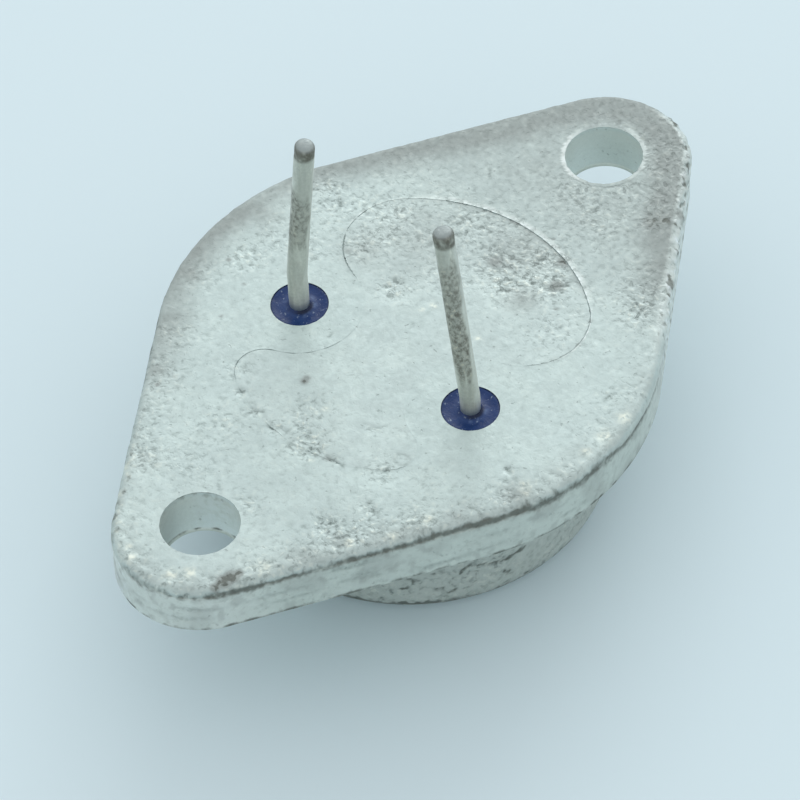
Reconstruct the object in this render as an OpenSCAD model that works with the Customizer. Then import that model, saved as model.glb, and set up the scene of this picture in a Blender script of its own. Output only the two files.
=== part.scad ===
// Power transistor in a two-hole oval metal case, seen from its mounting side.
// A steel plate carries a copper heat slug, two glass-sealed leads and a welded steel cap.
// Millimetres. The origin is midway between the two mounting holes, on the seating face.
// +X runs from hole to hole, +Y towards the base lead, and +Z along the leads.
// The part lies on its cap, with the seating face and the leads upwards.

/* [Mounting plate] */
// Distance between the two mounting holes
hole_pitch = 30.15; // [29.9:0.05:30.4]
// Diameter of each mounting hole
hole_d = 4.04; // [3.8:0.02:4.2]
// Plate thickness
plate_t = 2.83; // [2:0.01:3.4]
// Radius of the plate round its middle
middle_r = 12.26; // [12:0.02:13]
// Radius of the plate round each mounting hole
ear_r = 4.23; // [3.9:0.01:4.7]
// Rounding that the blanking punch draws round the seating face
edge_roll = 0.42; // [0.2:0.02:0.6]
// Broken edge round the cap side
edge_break = 0.1; // [0.05:0.01:0.2]
// Chamfer at both rims of each mounting hole
hole_break = 0.1; // [0.05:0.01:0.2]

/* [Heat slug] */
// Outer radius of the lobe that carries the chip
chip_lobe_r = 9; // [8.8:0.05:9.3]
// Outer radius of the lobe behind the leads
back_lobe_r = 8.65; // [8.4:0.05:9]
// Corner radius of the chip lobe
chip_corner_r = 3.2; // [2.8:0.1:3.4]
// Corner radius of the back lobe
back_corner_r = 1.45; // [1.2:0.05:1.6]
// Radius of the ring of plate left round each glass seal
seal_land_r = 3.13; // [2.9:0.01:3.3]
// Width of the hairline groove between slug and plate
groove_w = 0.06; // [0.04:0.01:0.1]
// Depth of that groove
groove_d = 0.1; // [0.06:0.01:0.15]
// Side of the square pad that the chip is soldered to
pad_side = 7.6; // [7:0.1:8]
// Height of that pad above the plate
pad_h = 0.6; // [0.4:0.1:0.8]

/* [Leads and glass seals] */
// Distance between the two leads
lead_pitch = 10.78; // [10.7:0.01:11.1]
// Distance of the leads from the middle of the plate
lead_offset = 1.69; // [1.6:0.01:2]
// Lead diameter
lead_d = 1; // [0.97:0.01:1.08]
// Height of each lead's tip above the seating face
lead_h = 12; // [10:0.1:12.5]
// Rounding round each lead's tip
tip_round = 0.16; // [0.1:0.01:0.25]
// Diameter of each glass seal
seal_d = 2.9; // [2.7:0.05:3]
// How deep the glass sinks between its rim and the lead
seal_dish = 0.14; // [0.08:0.01:0.2]
// Length of each lead inside the cap
lead_inner = 1.3; // [1:0.1:1.6]
// Diameter of the flattened head that a bond wire lands on
head_d = 1.8; // [1.6:0.1:2]
// Thickness of that head
head_t = 0.45; // [0.3:0.05:0.6]

/* [Bends in the leads] */
// Inside radius of each lead's bend, measured to its centre line
bend_r = 4; // [3:0.5:5]
// Straight root of the base lead below its bend
base_root = 2.05; // [0.5:0.05:3]
// Lean of the base lead, in degrees
base_lean = 6.9; // [0.5:0.1:8]
// Direction in which the base lead leans, in degrees from +X
base_lean_dir = -92; // [-180:1:180]
// Straight root of the emitter lead below its bend
emitter_root = 0.65; // [0.5:0.05:3]
// Lean of the emitter lead, in degrees
emitter_lean = 5.2; // [0.5:0.1:8]
// Direction in which the emitter lead leans, in degrees from +X
emitter_lean_dir = 104; // [-180:1:180]

/* [Cap] */
// Outer radius of the cap's wall
cap_r = 9.8; // [9.6:0.05:10]
// Distance from the seating face to the closed end of the cap
cap_depth = 9.5; // [8.5:0.1:10.5]
// Thickness of the drawn steel
cap_wall = 0.8; // [0.6:0.05:0.9]
// Outer radius of the closed end's corner
cap_corner_r = 1.5; // [1.2:0.1:2]
// Radius of the brim that is welded to the plate
brim_r = 11; // [10.8:0.05:11.3]
// Outer radius of the bend between wall and brim
brim_bend_r = 0.5; // [0.4:0.05:0.6]

/* [Chip and bond wires] */
// Side of the silicon chip
chip_side = 5; // [4:0.1:5.5]
// Thickness of the chip
chip_t = 0.25; // [0.2:0.01:0.4]
// How far the solder stands out round the chip
solder_margin = 0.2; // [0.1:0.05:0.4]
// Thickness of the solder under the chip
solder_t = 0.08; // [0.05:0.01:0.12]
// Diameter of each bond wire
wire_d = 0.38; // [0.25:0.01:0.4]
// Rise of each bond wire's loop above its feet
loop_rise = 1.7; // [1.2:0.1:2]

/* [Hidden] */

$fn = 128;
eps = 0.01;

lead_r = lead_d / 2;
seal_r = seal_d / 2;
hole_r = hole_d / 2;
hole_x = hole_pitch / 2;

// Places of the two leads: sides = 1 for the base lead, -1 for the emitter lead
function lead_place(side) = [-lead_offset, side * lead_pitch / 2];

// Angle from the X axis to the line where the middle arc meets each straight edge
tangent_angle = acos((middle_r - ear_r) / hole_x);
// Length of each straight edge
straight_len = sqrt(hole_x ^ 2 - (middle_r - ear_r) ^ 2);

// The arcs run this many degrees into the flanks, and the flanks stand proud of them by
// two microns, so that the pieces of the plate overlap instead of only touching
sector_lap = 2;
flank_proud = 0.002;

// Centre of the pad, under the chip lobe's middle
pad_x = 3.9;
pad_corner_r = 1;
// Inner face of the pad, of the solder and of the chip, going into the cap
pad_z = -plate_t - pad_h;
chip_z = pad_z - solder_t;
chip_face_z = chip_z - chip_t;
// Inner end of each lead
head_z = -plate_t - lead_inner;

// Landing places on the chip: the base pad and the emitter pad
base_land = [pad_x - 1.6, 1.5];
emitter_land = [pad_x - 1.2, -1.1];
// Flattened foot of a bond wire, and how deep the loop's ends sink into it
foot_len = 0.85;
foot_w = 0.52;
foot_t = 0.2;

// ---- outlines ----

// Points on an arc from angle a0 to a1, about every step degrees
function arc(centre, r, a0, a1, step = 4) =
    let (n = max(2, ceil(abs(a1 - a0) / step)))
    [for (i = [0:n]) let (a = a0 + (a1 - a0) * i / n) centre + r * [cos(a), sin(a)]];

function angle_of(v) = atan2(v.y, v.x);
function drop_last(list) = [for (i = [0:len(list) - 2]) list[i]];
function mirrored(list) = [for (i = [len(list) - 1:-1:0]) [list[i].x, -list[i].y]];

// Centre of a lobe's corner: it touches the lobe's outer arc from inside and the
// land round the base lead's seal from outside. end is 1 for the chip lobe, -1 for the back lobe.
function corner_centre(lobe_r, corner_r, end) =
    let (p = lead_place(1), d = norm(p), from_o = lobe_r - corner_r,
         from_p = seal_land_r + corner_r,
         along = (from_o ^ 2 - from_p ^ 2 + d ^ 2) / (2 * d),
         across = sqrt(from_o ^ 2 - along ^ 2), u = p / d)
    along * u + end * across * [u.y, -u.x];

// Hourglass outline of the heat slug, drawn in by inset on every side
function slug_outline(inset = 0) =
    let (p = lead_place(1),
         c = corner_centre(chip_lobe_r, chip_corner_r, 1),
         b = corner_centre(back_lobe_r, back_corner_r, -1),
         upper = concat(
             drop_last(arc([0, 0], chip_lobe_r - inset, 0, angle_of(c))),
             drop_last(arc(c, chip_corner_r - inset, angle_of(c), angle_of(p - c), 6)),
             drop_last(arc(p, seal_land_r + inset, angle_of(c - p), angle_of(b - p) - 360 *
                 (angle_of(b - p) > 0 ? 1 : 0), 5)),
             drop_last(arc(b, back_corner_r - inset, angle_of(p - b), angle_of(b), 9)),
             arc([0, 0], back_lobe_r - inset, angle_of(b), 180)))
    concat(upper, drop_last([for (i = [1:len(upper) - 1]) mirrored(upper)[i]]));

function rounded_square(side, r) =
    let (k = side / 2 - r)
    [for (q = [0:3], s = arc([0, 0], r, 90 * q, 90 * q + 90, 15))
        s + k * [q == 0 || q == 3 ? 1 : -1, q < 2 ? 1 : -1]];

// ---- mounting plate ----

// Half section of the plate from its middle out to radius r, with a rolled upper edge.
// It runs on past both faces, where plate_blank trims it flat.
module plate_section(r) {
    spare = 1;
    polygon(concat(
        [[0, -plate_t - spare], [r - edge_break - spare, -plate_t - spare],
         [r, -plate_t + edge_break]],
        arc([r - edge_roll, eps - edge_roll], edge_roll, 0, 90, 15),
        [[0, eps]]));
}

// Part of a disc with that section, between two angles about its own centre
module plate_sector(r, a0, a1) {
    rotate([0, 0, a0]) rotate_extrude(angle = a1 - a0) plate_section(r);
}

// Slab behind one straight edge, from the middle's tangent line to the ear's.
// What lies well past the line between the two centres is cut away.
module plate_flank() {
    intersection() {
        rotate([0, 0, tangent_angle])
            rotate([90, 0, 0])
                linear_extrude(straight_len) plate_section(middle_r + flank_proud);
        translate([-hole_x, -1, -2 * plate_t])
            cube([3 * hole_x, 2 * middle_r, 3 * plate_t]);
    }
}

// Two arcs round the middle, two round the holes, and the four flanks between them
module plate_rough() {
    middle_from = tangent_angle - sector_lap;
    ear_to = tangent_angle + sector_lap;
    for (half = [0, 180]) rotate([0, 0, half]) {
        plate_sector(middle_r, middle_from, 180 - middle_from);
        translate([hole_x, 0, 0]) plate_sector(ear_r, -ear_to, ear_to);
        for (flip = [0, 1]) mirror([0, flip, 0]) plate_flank();
    }
}

// The rough plate trimmed flat at both faces
module plate_blank() {
    intersection() {
        plate_rough();
        translate([-2 * hole_x, -2 * middle_r, -plate_t])
            cube([4 * hole_x, 4 * middle_r, plate_t]);
    }
}

// Cutter for a hole through the plate, with a chamfer at each rim
module chamfered_hole(r, chamfer) {
    rotate_extrude() polygon([
        [0, -plate_t - 1], [r + chamfer + 1, -plate_t - 1],
        [r, -plate_t + chamfer], [r, -chamfer],
        [r + chamfer + 1, 1], [0, 1]]);
}

module base_plate() {
    color("gainsboro") difference() {
        plate_blank();
        for (side = [-1, 1]) {
            translate([side * hole_x, 0, 0]) chamfered_hole(hole_r, hole_break);
            translate(lead_place(side))
                translate([0, 0, -plate_t - 1]) cylinder(h = plate_t + 2, r = seal_r);
        }
        translate([0, 0, -plate_t - 1]) linear_extrude(plate_t + 2) polygon(slug_outline());
    }
}

// ---- heat slug ----

module heat_slug() {
    color("lightgray") union() {
        translate([0, 0, -plate_t])
            linear_extrude(plate_t - groove_d) polygon(slug_outline());
        translate([0, 0, -groove_d - eps])
            linear_extrude(groove_d + eps) polygon(slug_outline(groove_w));
        translate([pad_x, 0, pad_z])
            linear_extrude(pad_h + eps) polygon(rounded_square(pad_side, pad_corner_r));
    }
}

// ---- glass seals ----

// Glass from the plate's hole to the lead, a little dished at both faces
module glass_seal(side) {
    mid_r = (seal_r + lead_r) / 2;
    half_w = (seal_r - lead_r) / 2;
    rim = 0.03;
    dish = [for (i = [0:8]) let (x = i / 4 - 1) [mid_r - half_w * x, seal_dish * (1 - x ^ 2) + rim]];
    color("midnightblue") translate(lead_place(side)) rotate_extrude() polygon(concat(
        [for (p = dish) [p.x, -p.y]],
        [for (i = [len(dish) - 1:-1:0]) [dish[i].x, dish[i].y - plate_t]]));
}
module glass_seal_base() { glass_seal(1); }
module glass_seal_emitter() { glass_seal(-1); }

// ---- leads ----

// Round wire with a flattened inner head, a straight root, one bend and a leaning free end
module lead(side, root, lean, lean_dir) {
    rise = root + bend_r * sin(lean);
    free_len = (lead_h - rise) / cos(lean);
    color("silver") translate(lead_place(side)) {
        translate([0, 0, head_z]) {
            cylinder(h = head_t, r = head_d / 2);
            cylinder(h = root - head_z, r = lead_r);
        }
        translate([0, 0, root]) rotate([0, 0, lean_dir]) {
            translate([bend_r, 0, 0]) rotate([90, 0, 180])
                rotate_extrude(angle = lean) translate([bend_r, 0]) circle(lead_r);
            translate([bend_r * (1 - cos(lean)), 0, bend_r * sin(lean)]) rotate([0, lean, 0]) {
                cylinder(h = free_len - tip_round, r = lead_r);
                translate([0, 0, free_len - tip_round]) rotate_extrude() polygon(concat(
                    [[0, 0]], arc([lead_r - tip_round, 0], tip_round, 0, 90, 18),
                    [[0, tip_round]]));
            }
        }
    }
}
module lead_base() { lead(1, base_root, base_lean, base_lean_dir); }
module lead_emitter() { lead(-1, emitter_root, emitter_lean, emitter_lean_dir); }

// ---- cap ----

// Drawn cup with a flat brim; its section runs up the outside and back down the inside
module cap() {
    end_z = -cap_depth;
    in_r = cap_r - cap_wall;
    in_corner = cap_corner_r - cap_wall;
    in_bend = brim_bend_r + cap_wall;
    brim_z = -plate_t - cap_wall;
    color("lightgray") rotate_extrude() polygon(concat(
        [[0, end_z]],
        arc([cap_r - cap_corner_r, end_z + cap_corner_r], cap_corner_r, -90, 0, 15),
        arc([cap_r + brim_bend_r, brim_z - brim_bend_r], brim_bend_r, 180, 90, 15),
        [[brim_r, brim_z], [brim_r, -plate_t]],
        arc([in_r + in_bend, -plate_t - in_bend], in_bend, 90, 180, 15),
        arc([in_r - in_corner, end_z + cap_corner_r], in_corner, 0, -90, 15),
        [[0, end_z + cap_wall]]));
}

// ---- chip and bond wires ----

module chip_solder() {
    side = chip_side + 2 * solder_margin;
    color("darkgray") translate([pad_x, 0, chip_z])
        linear_extrude(solder_t) polygon(rounded_square(side, 2 * solder_margin));
}

module silicon_chip() {
    color("dimgray") translate([pad_x - chip_side / 2, -chip_side / 2, chip_face_z])
        cube([chip_side, chip_side, chip_t]);
}

// Flattened foot on a face at z, its length along direction dir
module wire_foot(place, z, dir) {
    translate([place.x, place.y, z - foot_t / 2]) rotate([0, 0, dir])
        cube([foot_len, foot_w, foot_t], center = true);
}

// Wire looped from a lead's head to the chip, as one arc in an upright plane
module bond_wire(from, to) {
    run = to - from;
    dir = angle_of(run);
    drop = chip_face_z - head_z;
    chord = norm([norm(run), drop]);
    tilt = atan2(drop, norm(run));
    arc_r = (chord ^ 2 / 4 + loop_rise ^ 2) / (2 * loop_rise);
    half_angle = asin(chord / 2 / arc_r);
    mid = [(from.x + to.x) / 2, (from.y + to.y) / 2, (head_z + chip_face_z) / 2 - foot_t / 2];
    color("whitesmoke") {
        translate(mid) rotate([0, 0, dir]) rotate([90, 0, 0]) rotate([0, 0, tilt])
            translate([0, arc_r - loop_rise, 0]) rotate([0, 0, -90 - half_angle])
                rotate_extrude(angle = 2 * half_angle) translate([arc_r, 0]) circle(wire_d / 2);
        wire_foot(from, head_z, dir);
        wire_foot(to, chip_face_z, dir);
    }
}
module bond_wire_base() { bond_wire(lead_place(1), base_land); }
module bond_wire_emitter() { bond_wire(lead_place(-1), emitter_land); }

base_plate();
heat_slug();
glass_seal_base();
glass_seal_emitter();
lead_base();
lead_emitter();
cap();
chip_solder();
silicon_chip();
bond_wire_base();
bond_wire_emitter();
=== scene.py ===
# A power transistor in an oval two-hole metal case, lying on its cap with both leads upwards.
# Each piece is drawn in millimetres in its section, and its finished mesh is scaled to metres.

import math

import bmesh
import bpy
from mathutils import Matrix, Vector, noise


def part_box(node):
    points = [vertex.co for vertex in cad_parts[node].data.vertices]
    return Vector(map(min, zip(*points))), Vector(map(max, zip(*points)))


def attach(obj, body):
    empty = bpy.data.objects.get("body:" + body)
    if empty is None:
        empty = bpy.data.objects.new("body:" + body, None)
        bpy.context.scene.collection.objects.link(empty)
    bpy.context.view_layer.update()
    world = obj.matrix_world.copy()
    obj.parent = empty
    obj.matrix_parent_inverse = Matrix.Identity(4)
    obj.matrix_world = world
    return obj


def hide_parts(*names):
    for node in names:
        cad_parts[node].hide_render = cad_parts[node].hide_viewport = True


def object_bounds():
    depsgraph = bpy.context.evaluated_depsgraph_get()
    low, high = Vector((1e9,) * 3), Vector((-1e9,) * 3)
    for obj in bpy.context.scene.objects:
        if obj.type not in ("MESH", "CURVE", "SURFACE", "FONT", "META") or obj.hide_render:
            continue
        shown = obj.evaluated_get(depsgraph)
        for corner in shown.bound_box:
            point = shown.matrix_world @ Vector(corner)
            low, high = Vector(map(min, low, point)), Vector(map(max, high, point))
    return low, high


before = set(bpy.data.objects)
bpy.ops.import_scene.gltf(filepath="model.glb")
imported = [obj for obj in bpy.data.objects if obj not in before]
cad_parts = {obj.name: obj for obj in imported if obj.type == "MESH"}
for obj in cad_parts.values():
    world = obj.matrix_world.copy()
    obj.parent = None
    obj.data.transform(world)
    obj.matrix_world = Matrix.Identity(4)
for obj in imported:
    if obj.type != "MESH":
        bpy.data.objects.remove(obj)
cad_low, cad_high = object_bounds()


# ---- Camera ----
# A long lens about 0.3 m away looks down on the seating face past its left flank, so that the
# two leads stand almost upright in view.

MM = 0.001
view_azimuth = math.radians(-47.13)
view_elevation = math.radians(49.01)
view_roll = math.radians(-3.456)
aim_point = Vector((-3.38, -2.42, 0)) * MM
aim_distance = 291.26 * MM

back = Vector((
    math.sin(view_azimuth) * math.cos(view_elevation),
    -math.cos(view_azimuth) * math.cos(view_elevation),
    math.sin(view_elevation),
))
level_right = Vector((math.cos(view_azimuth), math.sin(view_azimuth), 0))
level_up = back.cross(level_right)
right = level_right * math.cos(view_roll) + level_up * math.sin(view_roll)
up = level_up * math.cos(view_roll) - level_right * math.sin(view_roll)

lens = bpy.data.cameras.new("camera")
lens.sensor_width = 36
lens.lens = 274.67
lens.clip_start = 0.01
camera = bpy.data.objects.new("camera", lens)
camera_turn = Matrix((right, up, back)).transposed().to_4x4()
camera.matrix_world = Matrix.Translation(aim_point + back * aim_distance) @ camera_turn
bpy.context.scene.collection.objects.link(camera)
bpy.context.scene.camera = camera
bpy.context.scene.view_settings.view_transform = "Standard"


# ---- Floor and light ----
# Pale blue paper under an even white sky, and one large soft lamp, low and to the far right,
# that draws the soft shadow towards the viewer.

def add_node(tree, kind, inputs=None, **settings):
    """A shader node with its settings, and each input given a value or linked from a socket"""
    made = tree.nodes.new(kind)
    for name, value in settings.items():
        setattr(made, name, value)
    for key, value in (inputs or {}).items():
        if isinstance(value, bpy.types.NodeSocket):
            tree.links.new(value, made.inputs[key])
        else:
            made.inputs[key].default_value = value
    return made


def new_material(name, **sockets):
    """A material with one Principled shader; sockets are its inputs that are the same all over"""
    material = bpy.data.materials.new(name)
    material.use_nodes = True
    shader = material.node_tree.nodes["Principled BSDF"]
    for key, value in sockets.items():
        shader.inputs[key.replace("_", " ")].default_value = value
    return material, material.node_tree, shader


def finish_piece(bm, name, material, smooth_below=35):
    """Turns a bmesh in millimetres into an object in metres, creased above an angle in degrees"""
    bmesh.ops.scale(bm, vec=(MM, MM, MM), verts=bm.verts)
    bm.normal_update()
    for face in bm.faces:
        face.smooth = True
    for edge in bm.edges:
        edge.smooth = edge.calc_face_angle(0) < math.radians(smooth_below)
    mesh = bpy.data.meshes.new(name)
    bm.to_mesh(mesh)
    bm.free()
    mesh.materials.append(material)
    made = bpy.data.objects.new(name, mesh)
    bpy.context.scene.collection.objects.link(made)
    return made


paper = new_material(
    "pale_paper", Base_Color=(0.63, 0.765, 0.82, 1), Roughness=0.7, Specular_IOR_Level=0.2)[0]
paper_half = 1500
bm = bmesh.new()
bmesh.ops.create_grid(bm, x_segments=1, y_segments=1, size=paper_half)
bmesh.ops.translate(bm, vec=(0, 0, cad_low.z / MM), verts=bm.verts)
floor = finish_piece(bm, "floor", paper)

sky = bpy.data.worlds.new("sky")
sky.use_nodes = True
sky.node_tree.nodes["Background"].inputs["Color"].default_value = (1, 1, 1, 1)
sky.node_tree.nodes["Background"].inputs["Strength"].default_value = 0.9
bpy.context.scene.world = sky

soft_box = bpy.data.lights.new("soft_box", "AREA")
soft_box.size = 0.55
soft_box.energy = 2.2
lamp = bpy.data.objects.new("soft_box", soft_box)
lamp_place = Vector((0.63, 0.36, 0.34))
lamp_turn = lamp_place.to_track_quat("Z", "Y").to_matrix().to_4x4()
lamp.matrix_world = Matrix.Translation(lamp_place) @ lamp_turn
bpy.context.scene.collection.objects.link(lamp)


# ---- Mounting plate ----
# A steel plate blanked from thick strip and plated a dull silver grey. The punch rolls the edge
# of its seating face, and the skin ends there in a ragged lip that holds brown dirt.

plate_low, plate_high = (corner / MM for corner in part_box("base_plate"))
plate_thick = plate_high.z - plate_low.z
middle_r = plate_high.y
ear_r = 4.23
hole_r = 2.02
rim_break = 0.1
edge_roll = 0.42
cell = 0.11

UP = Vector((0, 0, 1))
plate_middle = Vector((0, 0, 0))
near_hole = Vector((plate_low.x + ear_r, 0, 0))
far_hole = Vector((plate_high.x - ear_r, 0, 0))
base_seal = Vector((-1.69, 5.39, 0))
emitter_seal = Vector((-1.69, -5.39, 0))
seal_r = 1.45
flank_angle = math.degrees(math.acos((middle_r - ear_r) / far_hole.x))


def toward(degrees):
    """Level unit vector at an angle from +X"""
    return Vector((math.cos(math.radians(degrees)), math.sin(math.radians(degrees)), 0))


def trace(bm, turns, pitch, closed=True):
    """Outline of short edges: each turn (centre, radius, start angle, sweep) is spun from a
    point, and a straight run joins it to the turn before. Returns the outline's edges"""
    def run_to(last, target):
        begin = last.co.copy()
        steps = round((target - begin).length / pitch)
        for step in range(1, steps + 1):
            last = bmesh.ops.extrude_vert_indiv(bm, verts=[last])["verts"][0]
            last.co = begin.lerp(target, step / steps)
        return last

    earlier = set(bm.verts)
    first = last = None
    for centre, radius, start, sweep in turns:
        begin = centre + toward(start) * radius
        if first is None:
            first = last = bm.verts.new(begin)
        last = run_to(last, begin)
        if radius == 0:
            continue
        steps = max(3, round(math.radians(abs(sweep)) * radius / pitch))
        made = bmesh.ops.spin(
            bm, geom=[last], cent=centre, axis=UP, angle=math.radians(sweep), steps=steps)
        last = next(item for item in made["geom_last"] if isinstance(item, bmesh.types.BMVert))
    if closed:
        run_to(last, first.co)
    fresh = [vert for vert in bm.verts if vert not in earlier]
    bmesh.ops.remove_doubles(bm, verts=fresh, dist=pitch / 4)
    return [edge for edge in bm.edges if edge.is_wire]


def draw_circle(bm, centre, radius, pitch):
    """Edges of a circle made of short edges"""
    made = bmesh.ops.create_circle(
        bm, segments=round(math.tau * radius / pitch), radius=radius,
        matrix=Matrix.Translation(centre))
    return list({edge for vert in made["verts"] for edge in vert.link_edges})


def ring_verts(ring):
    """Points of a ring of edges"""
    return list({vert for edge in ring for vert in edge.verts})


def extend(bm, ring, step):
    """Draws a ring of edges on along a vector, and returns the new ring"""
    made = bmesh.ops.extrude_edge_only(bm, edges=ring)["geom"]
    fresh = {item for item in made if isinstance(item, bmesh.types.BMVert)}
    bmesh.ops.translate(bm, vec=step, verts=list(fresh))
    return [item for item in made
            if isinstance(item, bmesh.types.BMEdge) and fresh.issuperset(item.verts)]


def draw_wall(bm, rim, stations, metal_inside):
    """Draws an outline down through stations of (distance into the metal, height), and returns
    the last ring of edges"""
    rings = [rim]
    for _ in stations[1:]:
        rings.append(extend(bm, rings[-1], -UP))
    wall = list({face for ring in rings for edge in ring for face in edge.link_faces})
    bmesh.ops.recalc_face_normals(bm, faces=wall)
    levels = [ring_verts(ring) for ring in rings]
    for verts in levels:
        for vert in verts:
            vert.normal_update()
    rightmost = max(levels[0], key=lambda vert: vert.co.x)
    outward = (1 if rightmost.normal.x > 0 else -1) * (1 if metal_inside else -1)
    shifts = [[(vert, vert.normal * outward) for vert in verts] for verts in levels]
    for (inset, height), ring_shifts in zip(stations, shifts):
        for vert, shift in ring_shifts:
            vert.co -= shift * inset
            vert.co.z = height
    return rings[-1]


def fill_between(bm, rims, up_or_down, pitch):
    """Fills the flat face between closed rims, cut both ways into cells that take fine relief"""
    made = bmesh.ops.triangle_fill(
        bm, edges=[edge for rim in rims for edge in rim], use_beauty=True, use_dissolve=True,
        normal=up_or_down)
    faces = [item for item in made["geom"] if isinstance(item, bmesh.types.BMFace)]
    for axis in (Vector((1, 0, 0)), Vector((0, 1, 0))):
        places = [vert.co.dot(axis) for face in faces for vert in face.verts]
        done = []
        for step in range(1, int((max(places) - min(places)) / pitch) + 1):
            at = min(places) + step * pitch
            parts = faces + list({part for face in faces for part in (*face.verts, *face.edges)})
            made = bmesh.ops.bisect_plane(
                bm, geom=parts, dist=0.005, plane_co=axis * at, plane_no=axis)
            faces = []
            for item in made["geom"]:
                if isinstance(item, bmesh.types.BMFace):
                    past = item.calc_center_median().dot(axis) > at
                    (faces if past else done).append(item)
        faces += done


def flatten(place):
    """A place brought down to the level of the seating face"""
    return Vector((place.x, place.y, 0))


def paint_layers(bm, names):
    """Layers of a mesh's points that hold the values its finish reads, in the order named"""
    return [bm.verts.layers.float.new(name) for name in names]


def move_points(shifts):
    """Moves each point of a list of (point, shift)"""
    for vert, shift in shifts:
        vert.co += shift


def fading(flat, x, y, reach):
    """1 at a spot of the seating face, and fading over a reach round it"""
    return math.exp(-((flat.x - x) ** 2 + (flat.y - y) ** 2) / reach ** 2)


def soft_step(value, start, end):
    """0 at start, 1 at end, and a smooth slope between them"""
    share = min(1, max(0, (value - start) / (end - start)))
    return share * share * (3 - 2 * share)


def edge_distance(place):
    """How far inside the plate's outline a place is, in millimetres"""
    corner = Vector((abs(place.x), abs(place.y), 0))
    outward = toward(flank_angle)
    along = corner.dot(Vector((outward.y, -outward.x, 0)))
    if along < 0:
        return middle_r - corner.length
    if along > far_hole.dot(Vector((outward.y, -outward.x, 0))):
        return ear_r - (corner - far_hole).length
    return middle_r - corner.dot(outward)


# Places on the seating face that other parts have rubbed: x, y, reach and strength
rubbed_places = [
    (6.3, -0.4, 0.8, 1.0), (5.5, -1.8, 0.7, 0.9), (6.9, -3.4, 0.9, 1.0), (8.1, -2.4, 0.7, 0.8),
    (7.0, -1.8, 1.8, 0.5), (4.8, 4.8, 1.6, 0.5), (2.9, 5.6, 0.9, 0.6), (5.9, 6.0, 0.8, 0.4),
    (1.9, 2.5, 0.8, 0.8), (7.4, 2.2, 1.4, 0.6), (8.5, 0.6, 0.9, 0.4), (4.0, 0.8, 1.4, 0.35),
    (4.4, -5.2, 1.4, 0.35), (11.6, -2.4, 1.6, 0.5), (13.3, -4.8, 0.9, 1.0),
    (14.6, -4.2, 0.8, 0.8), (9.6, -7.2, 1.3, 0.7), (8.0, -7.8, 0.9, 0.7), (12.4, -0.2, 1.2, 0.45),
    (13.9, -2.3, 0.8, 0.5), (17.0, -2.4, 1.4, 0.5), (4.4, 8.3, 1.3, 0.5), (5.1, 9.8, 0.9, 0.6),
    (1.3, 9.2, 1.2, 0.5), (1.2, 7.2, 1.1, 0.4), (8.6, 8.0, 1.0, 0.2), (-1.0, 9.4, 1.0, 0.6),
    (-3.3, 10.6, 1.2, 0.5), (-6.9, 8.9, 1.3, 0.45), (-9.3, 7.9, 1.2, 0.6), (-12.0, 6.4, 1.3, 0.5),
    (-13.7, 5.1, 0.9, 0.7), (-17.6, 2.8, 1.0, 0.25), (-12.6, 3.0, 1.2, 0.4),
    (-9.8, 3.4, 1.2, 0.35), (-6.4, 0.6, 0.9, 0.5), (-8.4, -0.8, 0.8, 0.8), (-6.7, 4.9, 0.7, 0.4),
    (-7.2, -4.6, 0.8, 0.6), (-11.8, -5.6, 1.0, 1.0), (-10.6, -6.6, 1.0, 0.8),
    (-8.7, -7.9, 1.0, 0.7), (-7.0, -9.4, 0.9, 0.7), (-4.9, -10.3, 1.0, 0.8),
    (-13.8, -4.9, 1.0, 0.6), (-12.8, -1.0, 0.7, 0.5), (-11.4, -4.6, 0.7, 0.5),
    (-3.6, -9.3, 0.3, 0.8), (1.2, -10.9, 1.4, 0.25), (4.0, -11.0, 1.0, 0.3),
    (2.9, -10.1, 0.5, 0.4), (-7.4, 0.2, 0.6, 0.6), (-8.6, -0.4, 0.3, 0.9), (-8.4, -1.3, 0.4, 0.7),
    (-8.2, -2.3, 0.3, 0.8), (-8.4, 1.1, 0.45, 0.9), (-7.9, -0.8, 0.4, 0.8), (-8.3, 2.6, 0.4, 0.7),
    (-7.7, 3.9, 0.35, 0.7), (-5.6, -2.7, 0.4, 0.5), (-9.4, -5.6, 0.4, 0.8),
]


def rubbed(flat):
    """How rubbed the seating face is at a place, from 0 to 1"""
    total = 0.05 + 0.13 * soft_step(flat.x, 1, 7) + 0.07 * soft_step(flat.x, -4, -9)
    total += soft_step(flat.x, 13, 16) * (0.2 + 0.2 * soft_step(flat.y, 2, -1))
    for x, y, reach, strength in rubbed_places:
        away = math.hypot(flat.x - x, flat.y - y) / reach
        if away < 2.5:
            total += strength * math.exp(-away * away)
    return min(1, total)


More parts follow.
